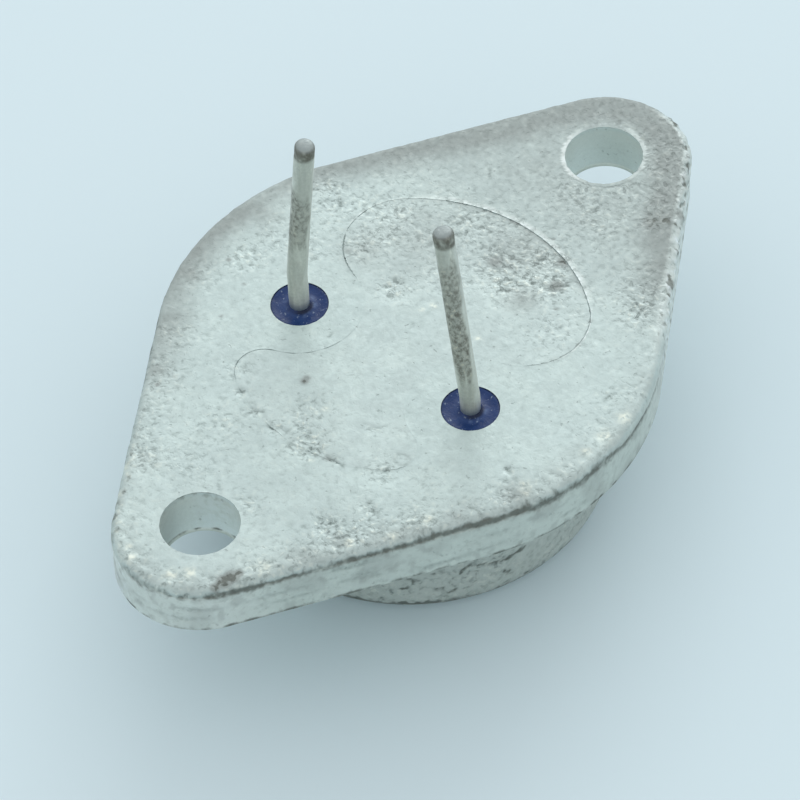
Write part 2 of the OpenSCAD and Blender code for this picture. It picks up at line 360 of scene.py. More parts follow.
# Places where dirt is smeared over the seating face: x, y, reach and strength
smears = [
    (-16.2, -3.42, 0.2, 1.5), (-16.55, -3.32, 0.3, 2.2), (-17.0, -3.2, 0.3, 2.2),
    (-17.5, -3.1, 0.22, 1.6), (-5.3, 1.95, 0.17, 1.4), (-5.1, 2.0, 0.15, 1.2),
    (13.4, -5.1, 0.5, 1.3), (13.0, -4.7, 0.6, 1.1), (14.8, -4.1, 0.6, 0.55),
    (14.4, -5.4, 0.3, 1.0), (15.8, -3.0, 1.6, 0.42), (17.6, -0.4, 1.3, 0.45),
    (17.4, 2.0, 1.3, 0.5), (6.3, -0.3, 0.45, 0.7), (6.9, -3.6, 0.35, 0.8), (8.3, -2.9, 0.3, 0.8),
    (5.0, 3.4, 2.2, 0.3), (7.2, -0.6, 1.9, 0.28), (3.0, 5.2, 1.3, 0.3), (5.2, -2.8, 0.9, 0.4),
    (9.6, -7.2, 0.9, 0.32), (11.4, -6.0, 1.2, 0.34), (2.4, 5.8, 0.3, 0.5), (-8.3, -2.1, 0.2, 0.5),
    (12.0, 5.9, 0.7, 0.5), (14.3, 4.6, 0.7, 0.7), (16.0, 3.6, 0.7, 0.68), (-3.6, 10.9, 0.8, 0.68),
    (-1.0, 11.6, 0.8, 0.55), (17.9, 0.9, 0.7, 0.7), (-13.9, 4.7, 0.7, 0.2), (-9.2, 8.1, 0.7, 0.5),
    (1.6, 11.0, 1.1, 0.5), (6.2, 9.5, 0.9, 0.36), (-9.85, 7.35, 0.12, 1.1),
    (-4.5, -10.6, 0.9, 0.45), (-11.8, -5.9, 0.6, 0.32), (9.2, -1.6, 0.1, 0.9),
    (5.75, -4.6, 0.1, 0.8), (8.2, -1.6, 0.1, 0.7), (-1.65, 10.0, 0.14, 0.8),
    (-4.65, 7.85, 0.09, 0.8), (-2.4, 8.35, 0.09, 0.8),
]


# Painted highlights: small pale glints on the seating face and along its edge: x, y, reach
glint_spots = [
    (-15.2, -4.05, 0.3), (-15.0, -3.9, 0.15), (-16.05, 4.35, 0.2), (-14.6, 5.3, 0.25),
    (-19.35, -1.05, 0.16), (-18.6, 1.2, 0.2), (-18.2, 1.7, 0.15), (-18.2, -1.0, 0.25),
    (-17.6, -1.6, 0.3), (13.0, -6.3, 0.16), (-3.8, -10.45, 0.25), (-4.1, -10.8, 0.2),
    (-0.4, -11.4, 0.2), (0.9, -11.5, 0.3), (2.4, -11.5, 0.3), (-6.0, 0.0, 0.12),
    (2.22, 0.2, 0.15), (1.93, -2.84, 0.14), (1.7, 0.5, 0.12), (-8.9, -1.5, 0.08),
    (-10.0, -7.6, 0.2), (-11.6, -6.3, 0.2), (-8.2, -8.2, 0.25),
]


def glint_at(flat):
    """How strong the painted glints are at a place, from 0 to 1"""
    return max(fading(flat, *spot) for spot in glint_spots)


def smeared(flat):
    """How much smeared grime lies on the seating face at a place"""
    return max(strength * fading(flat, x, y, reach) for x, y, reach, strength in smears)


# Short gouges in the seating face: x, y, heading in degrees, length and depth
gouges = [
    (1.95, 2.77, 40, 0.3, 0.9), (0.6, 0.2, 20, 0.25, 0.7), (2.0, 0.9, 10, 0.6, 0.4),
    (-8.65, -0.3, 100, 0.4, 0.6), (-8.4, -1.3, 75, 0.6, 0.9), (-8.25, -2.3, 95, 0.6, 1.0),
    (-8.55, 1.2, 85, 0.6, 0.6), (-8.1, 2.5, 100, 0.5, 0.8), (-8.35, 1.4, 60, 0.3, 0.7),
    (-7.65, 3.9, 80, 0.4, 0.8), (-8.3, 0.8, 100, 0.5, 0.8), (-7.9, -0.8, 40, 0.3, 0.7),
    (-8.2, -2.8, 80, 0.4, 0.8), (-5.5, -2.6, -50, 0.5, 0.6), (-4.8, -4.0, 62, 1.0, 0.3),
    (-3.6, -9.3, 65, 0.4, 1.0), (-6.6, -6.6, 28, 0.8, 0.6), (-6.1, -6.4, 40, 0.5, 0.4),
    (-9.4, -5.5, 10, 0.4, 0.8), (-9.3, -5.9, 30, 0.3, 0.6), (10.65, 3.7, 35, 0.5, 1.0),
    (4.5, 8.1, 28, 0.5, 0.9), (6.8, -3.6, -35, 0.6, 1.0), (7.1, -3.9, -50, 0.4, 1.0),
    (6.5, -3.2, 70, 0.5, 0.8), (5.4, -1.6, 60, 0.6, 0.8), (6.0, -0.8, -20, 0.5, 0.9),
    (6.6, -0.2, 35, 0.6, 0.9), (8.1, -2.4, 15, 0.4, 0.8), (5.75, 4.4, 100, 0.3, 0.8),
    (2.3, 2.7, 80, 0.5, 0.7), (1.6, 2.0, 95, 0.3, 0.6), (-12.9, 0.7, 60, 0.6, 0.7),
    (-13.3, 1.2, 75, 0.5, 0.5), (-12.2, -4.0, 95, 0.3, 0.6), (3.6, 7.4, 120, 0.4, 0.7),
    (5.2, 9.7, 80, 0.5, 0.7), (1.5, 8.4, 60, 0.4, 0.7), (17.0, -0.9, -25, 0.8, 0.8),
    (17.3, -1.5, -30, 0.9, 0.6), (14.9, -3.9, 25, 0.7, 0.7), (2.8, -10.1, 10, 0.4, 0.8),
    (-2.3, 2.9, 20, 0.25, 0.9), (-13.6, 5.1, 30, 0.4, 0.8), (10.9, -3.5, -10, 0.6, 0.5),
    (8.3, 6.6, 20, 0.3, 0.4), (-10.6, 4.1, 0, 0.3, 0.5),
]

# Little rings pressed into the seating face: x, y, radius and depth
rings = [
    (-6.2, -4.9, 0.36, 0.6), (-7.15, -4.55, 0.25, 0.5), (-11.45, -4.6, 0.36, 0.5),
    (-11.9, -5.9, 0.3, 0.6), (8.1, -7.7, 0.2, 0.9), (7.2, 2.9, 0.28, 0.6), (7.6, -8.6, 0.25, 0.4),
    (-8.4, -8.7, 0.4, 0.4), (7.3, 1.5, 0.35, 0.4),
]


def gouged(flat, gouges, rings, width=0.07):
    """How deep a list of gouges and one of pressed rings are at a place, from 0 to 1"""
    deepest = 0
    for x, y, aim, length, depth in gouges:
        across, up = flat.x - x, flat.y - y
        if abs(across) < 0.8 and abs(up) < 0.8:
            way = toward(aim)
            past = max(0, abs(across * way.x + up * way.y) - length / 2)
            away = math.hypot(past, across * way.y - up * way.x) / width
            deepest = max(deepest, depth * math.exp(-away * away))
    for x, y, radius, depth in rings:
        away = (math.hypot(flat.x - x, flat.y - y) - radius) / width
        if abs(away) < 3:
            deepest = max(deepest, depth * math.exp(-away * away))
    return deepest


# A fixed seed, so that the vector noise bends the dints the same way each time
noise.seed_set(7)


def dints(place, long=0.3, wide=0.3, along=None, seed=0):
    """Depth, from 0 to 1, of small ragged dints, which can be drawn out along one direction"""
    drawn = place / wide
    if along:
        drawn -= along * place.dot(along) * (1 / wide - 1 / long)
    drawn += UP * seed
    bent = drawn + 0.5 * noise.noise_vector(drawn * 0.7)
    return soft_step(noise.fractal(bent, 0.7, 2, 3), 0.22, 0.7)


def face_relief(flat, rubbing):
    """Height of the seating face's waves and grain less its dints, in millimetres, and how
    deep its dints are, from 0 to 1"""
    waves = noise.noise(flat / 5) * 0.01 + noise.noise(flat / 1.3 + UP * 7) * 0.006
    grain = noise.noise(flat / 0.4 + UP * 3) * (0.004 + 0.012 * rubbing)
    grain += noise.noise(flat / 0.24 + UP * 4) * (0.001 + 0.008 * rubbing)
    dint = max(dints(flat) * (0.15 + 0.85 * rubbing), gouged(flat, gouges, rings))
    return waves + grain - 0.04 * dint, dint


def node_makers(tree):
    """Makers for the nodes of a finish: a smooth slope between two values, a sum or another
    operation, a stain over a colour, and a value painted on the mesh"""
    def span(value, low, high, to_low=0.0, to_high=1.0):
        return add_node(tree, "ShaderNodeMapRange", {
            "Value": value, "From Min": low, "From Max": high, "To Min": to_low,
            "To Max": to_high}, interpolation_type="SMOOTHSTEP").outputs["Result"]

    def reckon(kind, first, second, clamp=False):
        return add_node(
            tree, "ShaderNodeMath", {0: first, 1: second}, operation=kind, use_clamp=clamp
        ).outputs[0]

    def stain(amount, below, colour):
        return add_node(tree, "ShaderNodeMix", {
            0: amount, 6: below, 7: colour}, data_type="RGBA").outputs[2]

    def painted(mark):
        return add_node(tree, "ShaderNodeAttribute", attribute_name=mark).outputs["Fac"]

    return span, reckon, stain, painted


def emboss(tree, shader, depth, height):
    """Lets a height drawn by nodes show as relief, where a height of 1 stands for a depth"""
    relief = add_node(tree, "ShaderNodeBump", {
        "Strength": 1.0, "Distance": depth, "Height": height})
    tree.links.new(relief.outputs["Normal"], shader.inputs["Normal"])


plating_marks = ("dirt_and_shade", "rub", "dint", "bare_and_sheen", "fleck", "seam_and_shade")


def plating(name, tint=(1, 1, 1)):
    """Dull silver-grey plating on steel. The mesh says where it is dinted, rubbed, dirty or painted
    with shade, bare or painted lighter, or lined with dark grime and painted shade; finer pits,
    creases and painted glints are drawn between its own dints"""
    material, tree, shader = new_material(name, IOR=1.5)
    span, reckon, stain, painted = node_makers(tree)
    metres = add_node(tree, "ShaderNodeTexCoord").outputs["Object"]
    place = add_node(tree, "ShaderNodeMapping", {
        "Vector": metres, "Scale": (MM, MM, MM)}, vector_type="TEXTURE").outputs["Vector"]

    def speckle(scale, detail=2.0, rough=0.5, bend=0.0, shift=0.0):
        moved = add_node(tree, "ShaderNodeVectorMath", {0: place, 1: (shift, shift, shift)})
        return add_node(tree, "ShaderNodeTexNoise", {
            "Vector": moved.outputs["Vector"], "Scale": scale, "Detail": detail,
            "Roughness": rough, "Distortion": bend}).outputs["Fac"]

    def silver(red, green, blue):
        return (red * tint[0], green * tint[1], blue * tint[2], 1)

    cloud = speckle(0.45, 3, shift=3)
    mottle = speckle(1.5, 3, 0.6, 0.3, 33)
    crumb = speckle(3.2, 1.7, 0.5, 0.25, 5)
    fleck = speckle(3.2, 1.5, 0.6, 0.3, 45)
    grain = speckle(9, 2, 0.6, shift=9)
    rub = painted("rub")
    bare_and_sheen = painted("bare_and_sheen")
    worn = reckon("ADD", rub, span(cloud, 0.45, 0.75, 0, 0.2), True)

    crease_line = reckon("ABSOLUTE", reckon("SUBTRACT", speckle(1.4, 2.5, 0.6, 0.4, 21), 0.5), 0)
    crease = reckon("MULTIPLY", span(crease_line, 0.01, 0.045, 1, 0), span(fleck, 0.51, 0.59))
    pit = span(crumb, 0.57, 0.68)
    mark = reckon("MULTIPLY", reckon("MAXIMUM", reckon("MULTIPLY", crease, 0.5), pit), worn)
    mark = reckon("MAXIMUM", mark, span(fleck, 0.67, 0.76, 0, 0.6))
    hollow = reckon("MULTIPLY", painted("dint"), span(crumb, 0.35, 0.6, 0.5, 1.1), True)
    # Painted glints: pale highlights where the mesh marks them, broken up by the crumbs
    shine = reckon("MULTIPLY", painted("fleck"), span(crumb, 0.6, 0.45, 0.2, 1))
    glint = reckon("MULTIPLY", span(crumb, 0.42, 0.33), reckon("MULTIPLY", worn, 0.4))
    glint = reckon("ADD", glint, shine, True)
    dirt_and_shade = painted("dirt_and_shade")
    haze = reckon("MULTIPLY", dirt_and_shade, span(mottle, 0.3, 0.7, 1.1, 0.9))
    grime = reckon("MULTIPLY", dirt_and_shade, span(crumb, 0.36, 0.64, 0.6, 1.2))

    colour = stain(span(cloud, 0.35, 0.65), silver(0.505, 0.62, 0.615), silver(0.545, 0.665, 0.655))
    colour = stain(span(mottle, 0.35, 0.65, 0.17, 0), colour, silver(0.33, 0.41, 0.40))
    wall = add_node(tree, "ShaderNodeSeparateXYZ", {"Vector": place}).outputs["Z"]
    colour = stain(span(wall, -0.15, -0.5, 0, 0.5), colour, silver(0.56, 0.62, 0.56))
    # Painted lighter where the metal is bare, and as painted light and a reflection of the paper on
    # walls and rims
    colour = stain(reckon("MULTIPLY", bare_and_sheen, 0.7), colour, silver(0.80, 0.865, 0.84))
    colour = stain(span(grain, 0.3, 0.62, 0.06, 0), colour, silver(0.25, 0.28, 0.28))
    colour = stain(reckon("MULTIPLY", worn, 0.12), colour, silver(0.26, 0.33, 0.315))
    colour = stain(reckon("MULTIPLY", hollow, 0.6), colour, silver(0.125, 0.17, 0.16))
    colour = stain(reckon("MULTIPLY", mark, 0.5), colour, silver(0.115, 0.155, 0.145))
    # Colour of the painted glints: cream, and bluish-white as a painted reflection of the blue
    # paper where the metal is bare or painted lighter
    shell = stain(span(bare_and_sheen, 0, 0.5), silver(0.88, 0.94, 0.82), silver(0.87, 0.97, 1.03))
    colour = stain(reckon("MULTIPLY", glint, 0.7), colour, shell)
    # Grey haze where the mesh is dirty or carries painted shade
    hazed = reckon("MINIMUM", reckon("MULTIPLY", haze, 1.2), 0.82)
    colour = stain(hazed, colour, (0.255, 0.295, 0.288, 1))
    colour = stain(span(grime, 0.75, 1.3, 0, 0.95), colour, (0.13, 0.152, 0.138, 1))
    # Dark lines and specks of grime, with painted shade along the plate's foot, a hole's bevel and
    # the cap's lower rim
    ragged_seam_and_shade = reckon("ADD", painted("seam_and_shade"), span(crumb, 0.2, 0.8, -0.2, 0.2))
    seam_and_shade = span(ragged_seam_and_shade, 0.15, 0.9, 0, 0.85)
    colour = stain(seam_and_shade, colour, (0.088, 0.102, 0.086, 1))
    tree.links.new(colour, shader.inputs["Base Color"])
    tree.links.new(span(grime, 0.1, 0.9, 0.35, 0.05), shader.inputs["Metallic"])
    roughness = reckon("ADD", span(crumb, 0.3, 0.7, 0.48, 0.6), span(grime, 0, 1, 0, 0.2))
    tree.links.new(reckon("SUBTRACT", roughness, reckon("MULTIPLY", worn, 0.1)),
                   shader.inputs["Roughness"])
    height = reckon("MULTIPLY", crumb, reckon("ADD", 0.02, reckon("MULTIPLY", worn, -0.12)))
    height = reckon("ADD", height, reckon("MULTIPLY", mottle, 0.035))
    height = reckon("ADD", height, reckon("MULTIPLY", grain, 0.003))
    height = reckon("SUBTRACT", height, reckon("MULTIPLY", mark, 0.03))
    emboss(tree, shader, MM, height)
    return material


bm = bmesh.new()
outer_turns = [
    (plate_middle, middle_r, flank_angle, 180 - 2 * flank_angle),
    (near_hole, ear_r, 180 - flank_angle, 2 * flank_angle),
    (plate_middle, middle_r, 180 + flank_angle, 180 - 2 * flank_angle),
    (far_hole, ear_r, -flank_angle, 2 * flank_angle),
]
roll = [(edge_roll * (1 - math.sin(turn)), -edge_roll * (1 - math.cos(turn)))
        for turn in (math.radians(10 * step) for step in range(10))]
lip = [(0.0, -0.5 - 0.1 * step) for step in range(9)]
side = [(0.0, -1.5 - 0.2 * step) for step in range(6)] + [(0.0, -2.6), (0.0, -2.67)]
foot = [(0.0, rim_break - plate_thick), (rim_break, -plate_thick)]
outer_rim = trace(bm, outer_turns, cell)
top_rims = [outer_rim]
bottom_rims = [draw_wall(bm, outer_rim, roll + lip + side + foot, metal_inside=True)]

hole_stations = [(-rim_break, 0), (0, -rim_break), (0, -0.18), (0, -0.8), (0, -1.4), (0, -2.1),
                 (0, -2.6), foot[0], (-rim_break, -plate_thick)]
for hole in (near_hole, far_hole):
    rim = draw_circle(bm, hole, hole_r, cell)
    top_rims.append(rim)
    bottom_rims.append(draw_wall(bm, rim, hole_stations, metal_inside=False))

for seal in (base_seal, emitter_seal):
    rim = draw_circle(bm, seal, seal_r, cell / 2)
    top_rims.append(rim)
    seal_stations = [(-0.03, 0), (0, -0.03), (0, -0.3), (0, -plate_thick)]
    bottom_rims.append(draw_wall(bm, rim, seal_stations, metal_inside=False))

chip_lobe_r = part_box("heat_slug")[1].x / MM
back_lobe_r = -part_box("heat_slug")[0].x / MM
chip_corner_r = 3.2
back_corner_r = 1.45
seal_land_r = 3.13


def corner_middle(lobe_r, corner_r, end):
    """Centre of a lobe's corner, which touches the lobe's arc and the land round the seal"""
    span = base_seal.length
    from_middle = lobe_r - corner_r
    from_seal = seal_land_r + corner_r
    along = (from_middle ** 2 - from_seal ** 2 + span ** 2) / (2 * span)
    across = math.sqrt(from_middle ** 2 - along ** 2) * end
    lead_way = base_seal / span
    return lead_way * along + Vector((lead_way.y, -lead_way.x, 0)) * across


def heading(level):
    """Angle of a level vector from +X, in degrees"""
    return math.degrees(math.atan2(level.y, level.x))


chip_corner = corner_middle(chip_lobe_r, chip_corner_r, 1)
back_corner = corner_middle(back_lobe_r, back_corner_r, -1)
chip_from = heading(chip_corner)
back_from = heading(back_corner)
land_from = heading(chip_corner - base_seal)
upper_turns = [
    (chip_corner, chip_corner_r, chip_from, heading(base_seal - chip_corner) - chip_from),
    (base_seal, seal_land_r, land_from, heading(back_corner - base_seal) - land_from),
    (back_corner, back_corner_r, heading(base_seal - back_corner),
     back_from - heading(base_seal - back_corner)),
]
lower_turns = [
    (Vector((centre.x, -centre.y, 0)), radius, -(start + sweep), sweep)
    for centre, radius, start, sweep in reversed(upper_turns)
]
slug_turns = [
    (plate_middle, chip_lobe_r, -chip_from, 2 * chip_from), *upper_turns,
    (plate_middle, back_lobe_r, back_from, 360 - 2 * back_from), *lower_turns,
]
slug_window = trace(bm, slug_turns, cell)
top_rims.append(slug_window)
window_stations = [(-0.05, 0), (0, -0.03), (0, -0.1), (0, -plate_thick)]
bottom_rims.append(draw_wall(bm, slug_window, window_stations, metal_inside=False))

fill_between(bm, top_rims, UP, cell)
fill_between(bm, bottom_rims, -UP, 4 * cell)
bmesh.ops.recalc_face_normals(bm, faces=bm.faces)
bm.normal_update()

# Where plating has left the groove round the slug open: x, y, reach and strength
open_places = [
    (8.5, -2.6, 3.4, 1.0), (8.6, 2.4, 3.0, 0.9), (3.6, 6.7, 2.2, 1.0), (4.6, -6.8, 2.0, 0.9),
    (2.1, 5.4, 1.2, 0.8), (2.8, -6.1, 1.2, 0.7), (6.6, -5.6, 1.6, 0.6), (-6.3, 5.4, 1.8, 0.55),
    (-4.3, 3.5, 1.4, 0.5), (-2.4, 2.3, 1.4, 0.4), (-8.5, -0.5, 2.6, 0.85), (-7.0, -4.9, 1.2, 0.8),
    (-5.6, -3.0, 0.9, 0.8), (1.6, 3.9, 1.2, 0.3), (1.6, -4.3, 1.4, 0.3),
]


def groove_open(flat):
    """How open the groove round the slug is at a place, from 0 to 1"""
    total = 0.04
    for x, y, reach, strength in open_places:
        total += strength * fading(flat, x, y, reach)
    ragged = 0.85 + 0.7 * noise.noise(flat / 0.9 + UP * 23)
    ragged += 0.5 * noise.noise(flat / 0.35 + UP * 24)
    return min(1, max(0.02, total * ragged))


def by_big_lobe(flat):
    """1 beside the slug's larger lobe, and fading before its corners"""
    return soft_step(abs(heading(flat)), chip_from, chip_from - 8)


def lip_height(flat):
    """Height of the dark line along the ragged lip, round the plate's wall"""
    level = 0.12 * math.exp(-((flat.x + 6.6) / 2.2) ** 2) - 0.38
    level -= 0.14 * soft_step(flat.x, -5.2, -3.6) * soft_step(flat.y, 0, -4)
    level -= 0.26 * soft_step(flat.x, -0.5, 2.5) * soft_step(flat.y, 0, -4)
    level -= 0.45 * soft_step(flat.x, 3, 8) * soft_step(flat.y, 0, -4)
    return level + 0.05 * noise.noise(flat / 2.3 + UP * 5) + 0.05 * noise.noise(flat / 1.0)


def distance_to_ring(flat, middle, radius):
    """How far a place is from a level ring"""
    return abs((flat - middle).length - radius)


def chipped_flank(flat):
    """How chipped the plate's edge is at a place, which the finish also paints lighter: it is so
    along the near flank to the far ear
    """
    return soft_step(flat.x, 5.5, 9) * soft_step(flat.y, 1, -1)


def bare_flank(flat):
    """How bare the plate's edge is at a place, with painted highlights on it: it is so along the
    near ear's far flank
    """
    return soft_step(flat.x, -10, -14) * soft_step(flat.y, 0.5, 2.5)


def sparkling(place):
    """How much bare metal sparkles at a place, from 0 to 1"""
    return soft_step(noise.noise(place / 0.25 + UP * 41), 0.1, 0.4)


def wear_face(vert, flat, inside):
    """Paints the seating face and its rolled edge, and returns the shift of their relief"""
    place = vert.co
    facing = flat.normalized().dot(handled_side)
    near_edge = soft_step(inside, 2.0, 0.3)
    handled = soft_step(facing, 0.1, 0.6) * soft_step(flat.x, 1, -5)
    chipped = soft_step(inside, 0.6, 0.1) * chipped_flank(flat)
    bare = bare_flank(flat)
    rubbing = max(rubbed(flat), near_edge * (0.25 + 0.4 * handled) * (1 - 0.5 * bare))
    height, depth = face_relief(flat, rubbing)
    glow = soft_step(facing, 0.1, 0.9) * (0.7 + noise.noise(flat / 1.4))
    haze = soft_step(inside, 2.6, 0.2) * soft_step(facing, 0.3, -0.4)
    haze *= max(0, 0.6 + 0.3 * noise.noise(flat / 2.2 + UP * 19)) * (1 - chipped)
    haze = max(haze * (1 - 0.5 * bare), 0.28 * near_edge * glow)
    shade = 0.36 * soft_step(flat.x, 4, 13.5) * (1 - 0.8 * chipped)
    vert[dint] = depth
    vert[rub] = rubbing
    # The chipped flank is bare metal, and it is painted lighter as well
    vert[bare_and_sheen] = 0.5 * chipped
    vert[fleck] = glint_at(flat)
    vert[dirt_and_shade] = max(smeared(flat), min(most_haze, haze + shade))
    if inside < 0.5:
        specks = soft_step(noise.noise(place / 0.33), 0.05, 0.4)
        vert[fleck] = max(vert[fleck], sparkling(place) * max(0.5 * chipped, 0.4 * bare))
        vert[seam_and_shade] = specks * max(0.75 * chipped * (place.z < -0.01), 0.5 * bare)
    crumbs = noise.noise(place / 0.45 + UP * 13) + 0.4 * noise.noise(place / 0.22 + UP * 15)
    rough = 0.02 + 0.015 * handled + 0.045 * chipped
    return vert.normal * (height + rough * near_edge * crumbs)


def wear_wall(vert, flat):
    """Paints the plate's wall with strokes, dirty patches and chips, with painted light towards the
    ears and a foot line of grime and painted shade, and returns the shift of its relief
    """
    place = vert.co
    chipped = chipped_flank(flat)
    bare = bare_flank(flat)
    drawn = Vector((place.x / 2.6, place.y / 2.6, place.z / 0.35))
    strokes = soft_step(noise.noise(drawn), 0.15, 0.6)
    specks = soft_step(noise.noise(place / 0.33), 0.05, 0.45)
    patch = 0.25 * soft_step(noise.noise(place / 1.8 + UP * 31), 0, 0.5)
    patch += 0.25 * soft_step(noise.noise(place / 0.45 + UP * 33), 0.2, 0.5)
    stripe = soft_step(flat.x, 4, 7) * soft_step(flat.x, 9, 8) * soft_step(flat.y, 0, -4)
    stripe *= soft_step(place.z, -0.7, -1.2) * soft_step(place.z, -2.4, -1.8)
    # Dark line along the wall's foot: grime and painted shade at the plate's lower edge
    foot_line = soft_step(place.z, -2.5, -2.67) * (1 - 0.7 * bare) * (1 - 0.5 * chipped)
    foot_line *= min(1, max(0, 0.6 + 0.8 * noise.noise(flat / 0.7)))
    spots = 0.7 * specks * (chipped + 0.35 * (1 - chipped) * strokes)
    ear_glow = 0.5 * soft_step(flat.x, -14, -18)
    vert[dint] = 0.6 * strokes * (1 - chipped) + 0.6 * specks * chipped
    vert[rub] = 0.2
    # Painted light: the wall is painted lighter towards the far ear and round the near ear, and
    # where its flank is bare
    vert[bare_and_sheen] = max(0.55 * soft_step(flat.x, 2, 8), 0.8 * bare, ear_glow)
    vert[fleck] = sparkling(place) * max(chipped, bare)
    vert[dirt_and_shade] = (0.08 + patch) * (1 - 0.8 * chipped) + 0.22 * stripe
    vert[seam_and_shade] = max(foot_line, spots)
    return vert.normal * (noise.noise(place / 0.9) * 0.012 - 0.02 * strokes)


def paint_bore_shading(vert, flat):
    """Paints the holes' walls lighter with depth as painted light; the near one gets painted shade
    on one side and a painted highlight on another
    """
    near = flat.x < -12
    way = (flat - near_hole).normalized()
    # Painted light: the walls are painted lighter further down
    vert[bare_and_sheen] = 0.42 - 0.25 * vert.co.z
    # Painted shade and a painted highlight on opposite sides of the near hole's wall
    vert[dirt_and_shade] = 0.3 * soft_step(way.dot(toward(115)), 0.6, 1) * near
    vert[fleck] = 0.25 * soft_step(way.dot(toward(20)), 0.7, 1) * near


def wear_lip(vert, flat):
    """Paints the dark line along the ragged lip, and returns the shift that sinks it. The line
    wanders, gapes and fades, and towards the far ear the lip stands out as a chipped burr"""
    place = vert.co
    gape = 0.75 + 0.4 * noise.noise(flat / 1.6 + UP * 9) + 0.12 * noise.noise(flat / 0.5 + UP * 10)
    gape += 0.3 * math.exp(-((flat.x + 6) / 2) ** 2)
    gape *= 1 - 0.35 * soft_step(flat.x, -17.6, -18.6) * (1 - 1.5 * noise.noise(flat / 0.4))
    gape *= 1 - 0.6 * soft_step(flat.x, 1, 8) * soft_step(flat.y, 2, -2)
    above = place.z - lip_height(flat)
    wide = soft_step(abs(flat.x + 2), 3.4, 2.4) * soft_step(flat.y, 0, -4)
    reach = 0.15 + 0.07 * soft_step(abs(flat.x + 11), 4, 2) + 0.17 * wide
    if above < 0:
        reach = 0.23 + 0.06 * wide
    reach += 0.05 * soft_step(flat.x, -15, -17) + 0.1 * soft_step(flat.x, -18.2, -19)
    line = math.exp(-(above / reach) ** 2) * gape * (1 - bare_flank(flat))
    vert[seam_and_shade] = max(vert[seam_and_shade], min(1, line))
    vert[dirt_and_shade] = max(vert[dirt_and_shade], 0.4 * math.exp(-(above / 0.4) ** 2) * gape)
    burr = max(0, 0.08 + 0.12 * noise.noise(place / 0.35 + UP * 37)) * chipped_flank(flat)
    burr *= soft_step(place.z, -1.5, -0.8) * soft_step(place.z, -0.1, -0.4)
    return flat.normalized() * (burr - 0.05 * line)


def paint_hole_rims(vert, flat):
    """Paints the mounting holes' rims: painted highlights at the far one's sides and painted shade
    where its bevel faces away from the camera, and the near one dirty
    """
    on_bevel = vert.co.z < -0.05
    if distance_to_ring(flat, far_hole, hole_r) < 0.12 and vert.co.z > -0.12:
        way = (flat - far_hole).normalized()
        sideways = way.dot(toward(133))
        # Painted highlights on the far hole's rim, strongest at its sides
        ring = soft_step(abs(sideways), 0.4, 0.8) * (1 if sideways > 0 else 0.6)
        vert[fleck] = ring * (0.7 if on_bevel else 0.2)
        vert[bare_and_sheen] = 0.7 * ring
        vert[dirt_and_shade] *= 1 - 0.8 * ring
        # Painted shade on the part of the bevel that faces away from the camera
        vert[seam_and_shade] = 0.6 * soft_step(way.dot(toward(-137)), 0.5, 0.85) * on_bevel
        vert[rub] = 0.2
    away = distance_to_ring(flat, near_hole, hole_r)
    if away < 0.12 and vert.co.z > -0.2:
        way = (flat - near_hole).normalized()
        line = soft_step(way.dot(toward(75)), 0.0, 0.6) * soft_step(vert.co.z, -0.26, -0.08)
        vert[seam_and_shade] = line * on_bevel * max(0, 0.75 + 0.7 * noise.noise(flat / 0.9))
    if away < 0.05 and vert.co.z < -2.7:
        vert[seam_and_shade] = max(0, 0.5 + 0.9 * noise.noise(flat / 0.5))


def paint_window_rim(vert, flat, inside):
    """Paints a highlight on the plate's edge round the slug where the groove is open, and a ring of
    painted highlight beside the big lobe, and returns the shift of its small burr"""
    burr = Vector()
    near_rim = distance_to_ring(flat, near_hole, hole_r) < 0.5
    # Painted highlight along the rim where the groove is open, towards the far ear
    if vert in window_rim and inside > 2 and not near_rim:
        share = groove_open(flat)
        vert[bare_and_sheen] = share * soft_step(flat.x, 2, 6)
        vert[fleck] = 0.8 * vert[bare_and_sheen]
        burr = UP * 0.015 * share
    # Painted highlight in a ring just outside the big lobe
    sheen_ring = soft_step(abs(flat.length - chip_lobe_r - 0.1), 0.16, 0.06)
    if sheen_ring > 0 and vert.co.z > -0.01 and flat.x > 3:
        sheen_ring *= groove_open(flat) * by_big_lobe(flat)
        vert[bare_and_sheen] = max(vert[bare_and_sheen], 0.5 * sheen_ring)
        vert[fleck] = max(vert[fleck], 0.15 * sheen_ring)
        vert[dirt_and_shade] *= 1 - 0.5 * sheen_ring
    return burr


most_haze = 0.68
handled_side = Vector((-0.62, -0.78, 0))
dirt_and_shade, rub, dint, bare_and_sheen, fleck, seam_and_shade = paint_layers(bm, plating_marks)
window_rim = {vert for vert in bm.verts if vert.co.z > -0.04 and any(
    edge.is_manifold and edge.calc_face_angle(0) > 0.4 for edge in vert.link_edges)}
shifts = []
for vert in bm.verts:
    flat = flatten(vert.co)
    inside = edge_distance(flat)
    shift = Vector()
    if vert.co.z > -0.45 and (vert.co.z > -0.01 or inside < 0.6):
        shift += wear_face(vert, flat, inside)
    elif inside < 0.3:
        shift += wear_wall(vert, flat)
    elif vert.co.z > -plate_thick + 0.01:
        paint_bore_shading(vert, flat)
    if inside < 0.5:
        shift += wear_lip(vert, flat)
    paint_hole_rims(vert, flat)
    shift += paint_window_rim(vert, flat, inside)
    shifts.append((vert, shift))
move_points(shifts)

plate = finish_piece(bm, "plate", plating("plate_plating"))
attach(plate, "root")
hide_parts("base_plate")


# ---- Heat slug ----
# A copper slug shaped like an hourglass, pressed into the plate and plated with it. Only a
# hairline groove shows round it; inside the case it carries a square pad for the chip.

groove = 0.06
pad_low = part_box("heat_slug")[0].z / MM
pad_middle = Vector((3.9, 0, 0))
pad_half = 3.8
pad_corner_r = 1.0

